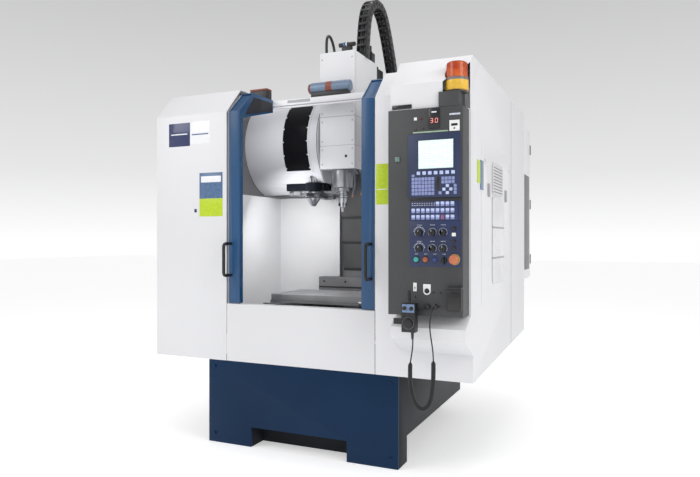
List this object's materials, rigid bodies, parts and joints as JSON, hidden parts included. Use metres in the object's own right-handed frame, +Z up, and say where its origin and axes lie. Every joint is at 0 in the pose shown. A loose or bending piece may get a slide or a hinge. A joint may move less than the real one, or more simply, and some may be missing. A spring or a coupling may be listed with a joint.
{
  "type": "cnc machining center",
  "caption": "Vertical CNC machining center with sliding doors, cross table, tool magazine, swing-arm changer, control console and overhead energy chain.",
  "frame": {"origin": "centre of the bounding box of all but the curly cord, on the floor", "axes": "+X to the operator's right, +Y from the front doors to the rear, +Z up"},
  "size_m": [1.92, 2.1, 2.7],
  "materials": {
    "cast_dark": "painted, near black",
    "navy_paint": "semi-gloss",
    "cast_light": "painted, light grey",
    "ground_steel": "ground",
    "motor_black": "painted black",
    "cover_white": "semi-gloss",
    "inner_white": "semi-gloss",
    "panel_grey": "fine texture",
    "unit_navy": "satin",
    "key_film": "satin film",
    "lamp_yellow": "gloss",
    "lamp_red": "translucent",
    "black_plastic": "satin",
    "cord_rubber": "satin",
    "way_grey": "ground, oiled",
    "drive_case": "satin",
    "table_iron": "ground",
    "chain_black": "satin",
    "disc_alloy": "machined",
    "door_blue": "semi-gloss",
    "window_glass": "clear",
    "button_teal": "gloss",
    "button_brown": "gloss",
    "estop_red": "gloss"
  },
  "bodies": {
    "machine": {"base_casting": "cast_dark", "base_apron": "navy_paint", "column": "cast_light", "fixed_rails": "ground_steel", "fixed_motors": "motor_black", "cover_left": "cover_white", "cover_right": "cover_white", "cover_sill": "cover_white", "inner_panels": "inner_white", "door_beam": "cover_white", "console_housing": "cover_white", "control_box": "panel_grey", "screen_unit": "unit_navy", "key_panel": "key_film", "lamp_base": "lamp_yellow", "lamp_dome": "lamp_red", "pendant_bracket": "black_plastic", "pendant": "black_plastic", "pendant_cord": "cord_rubber", "way_cover": "way_grey", "magazine_frame": "cast_light", "magazine_cover": "inner_white", "electrical_cabinet": "cover_white", "drive_rack": "drive_case"},
    "saddle": {"saddle": "cast_light", "x_motor": "motor_black"},
    "table": {"table": "table_iron"},
    "head": {"head_casting": "cast_light", "head_cover": "cover_white", "spindle_housing": "ground_steel", "spindle_motor": "motor_black", "z_cover_1": "way_grey", "energy_chain": "chain_black"},
    "spindle": {"spindle": "ground_steel"},
    "z_cover_2": {"z_cover_2": "way_grey"},
    "z_cover_3": {"z_cover_3": "way_grey"},
    "x_screw": {"x_screw": "ground_steel"},
    "y_screw": {"y_screw": "ground_steel"},
    "z_screw": {"z_screw": "ground_steel"},
    "magazine_disc": {"magazine_disc": "disc_alloy"},
    "arm_hub": {"arm_hub": "ground_steel"},
    "tool_arm": {"tool_arm": "ground_steel"},
    "door_left": {"door_left": "door_blue", "glass_left": "window_glass"},
    "door_right": {"door_right": "door_blue", "glass_right": "window_glass"},
    "cabinet_door": {"cabinet_door": "cover_white"},
    "cabinet_handle": {"cabinet_handle": "black_plastic"},
    "button_start": {"button_start": "button_teal"},
    "button_hold": {"button_hold": "button_brown"},
    "estop": {"estop": "estop_red"},
    "pendant_dial": {"pendant_dial": "black_plastic"},
    "pendant_axis": {"pendant_axis": "black_plastic"},
    "pendant_rate": {"pendant_rate": "black_plastic"},
    "dial_1": {"dial_1": "black_plastic"},
    "dial_2": {"dial_2": "black_plastic"},
    "dial_3": {"dial_3": "black_plastic"},
    "dial_4": {"dial_4": "black_plastic"},
    "dial_5": {"dial_5": "black_plastic"},
    "dial_6": {"dial_6": "black_plastic"}
  },
  "joints": [
    {"name": "y_slide", "type": "slide", "parent": "machine", "child": "saddle", "axis": [0, 1, 0], "range_m": [-0.18, 0.16]},
    {"name": "x_slide", "type": "slide", "parent": "saddle", "child": "table", "axis": [1, 0, 0], "range_m": [-0.255, 0.255]},
    {"name": "z_slide", "type": "slide", "parent": "machine", "child": "head", "axis": [0, 0, 1], "range_m": [-0.38, 0], "deforming": ["energy_chain"]},
    {"name": "z_cover_2_slide", "type": "slide", "parent": "machine", "child": "z_cover_2", "axis": [0, 0, 1], "range_m": [-0.22, 0]},
    {"name": "z_cover_3_slide", "type": "slide", "parent": "machine", "child": "z_cover_3", "axis": [0, 0, 1], "range_m": [-0.055, 0]},
    {"name": "x_screw_spin", "type": "hinge", "parent": "saddle", "child": "x_screw", "pos_m": [0, -0.36, 0.745], "axis": [1, 0, 0], "range_deg": [-5850, 5850]},
    {"name": "y_screw_spin", "type": "hinge", "parent": "machine", "child": "y_screw", "pos_m": [0, -0.36, 0.602], "axis": [0, 1, 0], "range_deg": [-4100, 3650]},
    {"name": "z_screw_spin", "type": "hinge", "parent": "machine", "child": "z_screw", "pos_m": [0, 0.15, 1.4], "axis": [0, 0, 1], "range_deg": [-8600, 0]},
    {"name": "spindle_spin", "type": "hinge", "parent": "head", "child": "spindle", "pos_m": [0, -0.22, 1.5], "axis": [0, 0, 1], "continuous": true},
    {"name": "magazine_spin", "type": "hinge", "parent": "machine", "child": "magazine_disc", "pos_m": [-0.43, -0.003, 1.75], "axis": [1, 0, 0], "continuous": true},
    {"name": "arm_drop", "type": "slide", "parent": "machine", "child": "arm_hub", "axis": [0, 0, 1], "range_m": [-0.09, 0]},
    {"name": "arm_swing", "type": "hinge", "parent": "arm_hub", "child": "tool_arm", "pos_m": [-0.2, -0.22, 1.417], "axis": [0, 0, 1], "range_deg": [0, 90]},
    {"name": "door_left_slide", "type": "slide", "parent": "machine", "child": "door_left", "axis": [1, 0, 0], "range_m": [0, 0.3685]},
    {"name": "door_right_slide", "type": "slide", "parent": "machine", "child": "door_right", "axis": [-1, 0, 0], "range_m": [0, 0.3685]},
    {"name": "cabinet_door_hinge", "type": "hinge", "parent": "machine", "child": "cabinet_door", "pos_m": [0.942, 1.038, 1.4], "axis": [0, 0, 1], "range_deg": [-110, 0]},
    {"name": "cabinet_handle_turn", "type": "hinge", "parent": "cabinet_door", "child": "cabinet_handle", "pos_m": [0.1, 1.04, 1.405], "axis": [0, 1, 0], "range_deg": [-90, 0]},
    {"name": "dial_1_turn", "type": "hinge", "parent": "machine", "child": "dial_1", "pos_m": [0.731, -0.97, 1.178], "axis": [0, 1, 0], "range_deg": [-150, 150]},
    {"name": "dial_2_turn", "type": "hinge", "parent": "machine", "child": "dial_2", "pos_m": [0.793, -0.97, 1.178], "axis": [0, 1, 0], "range_deg": [-150, 150]},
    {"name": "dial_3_turn", "type": "hinge", "parent": "machine", "child": "dial_3", "pos_m": [0.844, -0.97, 1.178], "axis": [0, 1, 0], "range_deg": [-150, 150]},
    {"name": "dial_4_turn", "type": "hinge", "parent": "machine", "child": "dial_4", "pos_m": [0.731, -0.97, 1.104], "axis": [0, 1, 0], "range_deg": [-150, 150]},
    {"name": "dial_5_turn", "type": "hinge", "parent": "machine", "child": "dial_5", "pos_m": [0.793, -0.97, 1.104], "axis": [0, 1, 0], "range_deg": [-150, 150]},
    {"name": "dial_6_turn", "type": "hinge", "parent": "machine", "child": "dial_6", "pos_m": [0.844, -0.97, 1.104], "axis": [0, 1, 0], "range_deg": [-150, 150]},
    {"name": "button_start_push", "type": "slide", "parent": "machine", "child": "button_start", "axis": [0, 1, 0], "range_m": [0, 0.003], "stiffness_N_per_m": 600},
    {"name": "button_hold_push", "type": "slide", "parent": "machine", "child": "button_hold", "axis": [0, 1, 0], "range_m": [0, 0.003], "stiffness_N_per_m": 600},
    {"name": "estop_push", "type": "slide", "parent": "machine", "child": "estop", "axis": [0, 1, 0], "range_m": [0, 0.005], "stiffness_N_per_m": 1500},
    {"name": "pendant_dial_turn", "type": "hinge", "parent": "machine", "child": "pendant_dial", "pos_m": [0.702, -1.036, 0.765], "axis": [0, 1, 0], "range_deg": [-150, 150]},
    {"name": "pendant_axis_turn", "type": "hinge", "parent": "machine", "child": "pendant_axis", "pos_m": [0.686, -1.036, 0.833], "axis": [0, 1, 0], "range_deg": [-150, 150]},
    {"name": "pendant_rate_turn", "type": "hinge", "parent": "machine", "child": "pendant_rate", "pos_m": [0.719, -1.036, 0.833], "axis": [0, 1, 0], "range_deg": [-150, 150]}
  ],
  "couplings": [
    {"joint": "z_cover_2_slide", "follows": "z_slide", "ratio": 0.558},
    {"joint": "z_cover_3_slide", "follows": "z_slide", "ratio": 0.129},
    {"joint": "x_screw_spin", "follows": "x_slide", "rad_per_m": 392.7},
    {"joint": "y_screw_spin", "follows": "y_slide", "rad_per_m": 392.7},
    {"joint": "z_screw_spin", "follows": "z_slide", "rad_per_m": 392.7}
  ]
}
